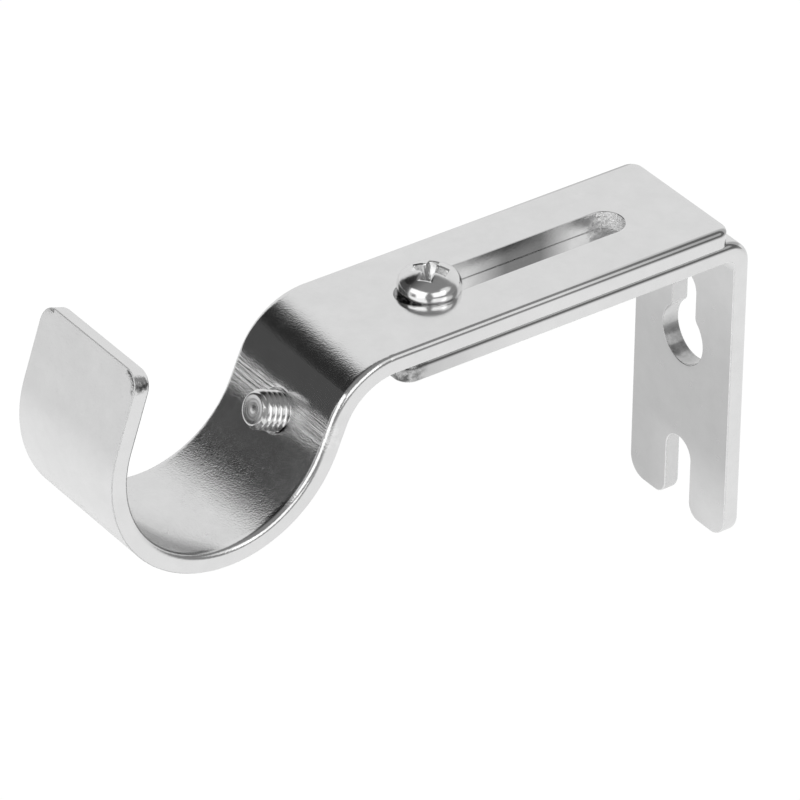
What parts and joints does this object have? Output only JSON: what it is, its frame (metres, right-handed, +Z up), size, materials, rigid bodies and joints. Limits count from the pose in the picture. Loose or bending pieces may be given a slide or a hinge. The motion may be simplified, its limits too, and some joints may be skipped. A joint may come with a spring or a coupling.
{
  "type": "curtain pole bracket",
  "caption": "Slotted steel arm with an open cup and a locking screw for a curtain pole, clamped by a screw to a folded wall plate with a keyhole and an open notch.",
  "frame": {"origin": "on the wall face, mid-width, midway between the seats of the two wall screws", "axes": "+X along the pole, +Y from the room into the wall, +Z up"},
  "size_m": [0.02, 0.0946, 0.0576],
  "materials": {
    "strip_plating": "bright nickel plating on bent steel strip",
    "screw_plating": "bright nickel plating on a steel screw"
  },
  "bodies": {
    "wall_bracket": {"wall_bracket": "strip_plating"},
    "arm": {"arm": "strip_plating"},
    "clamp_screw": {"clamp_screw": "screw_plating"},
    "locking_screw": {"locking_screw": "screw_plating"}
  },
  "joints": [
    {"name": "arm_slide", "type": "slide", "parent": "wall_bracket", "child": "arm", "axis": [0, -1, 0], "range_m": [-0.001, 0.027]},
    {"name": "clamp_screw_turn", "type": "hinge", "parent": "wall_bracket", "child": "clamp_screw", "pos_m": [0, -0.0419, 0.0264], "axis": [0, 0, 1], "range_deg": [0, 360]},
    {"name": "locking_screw_travel", "type": "slide", "parent": "arm", "child": "locking_screw", "axis": [0, -0.9205, 0.3907], "range_m": [-0.0036, 0.0018]}
  ]
}
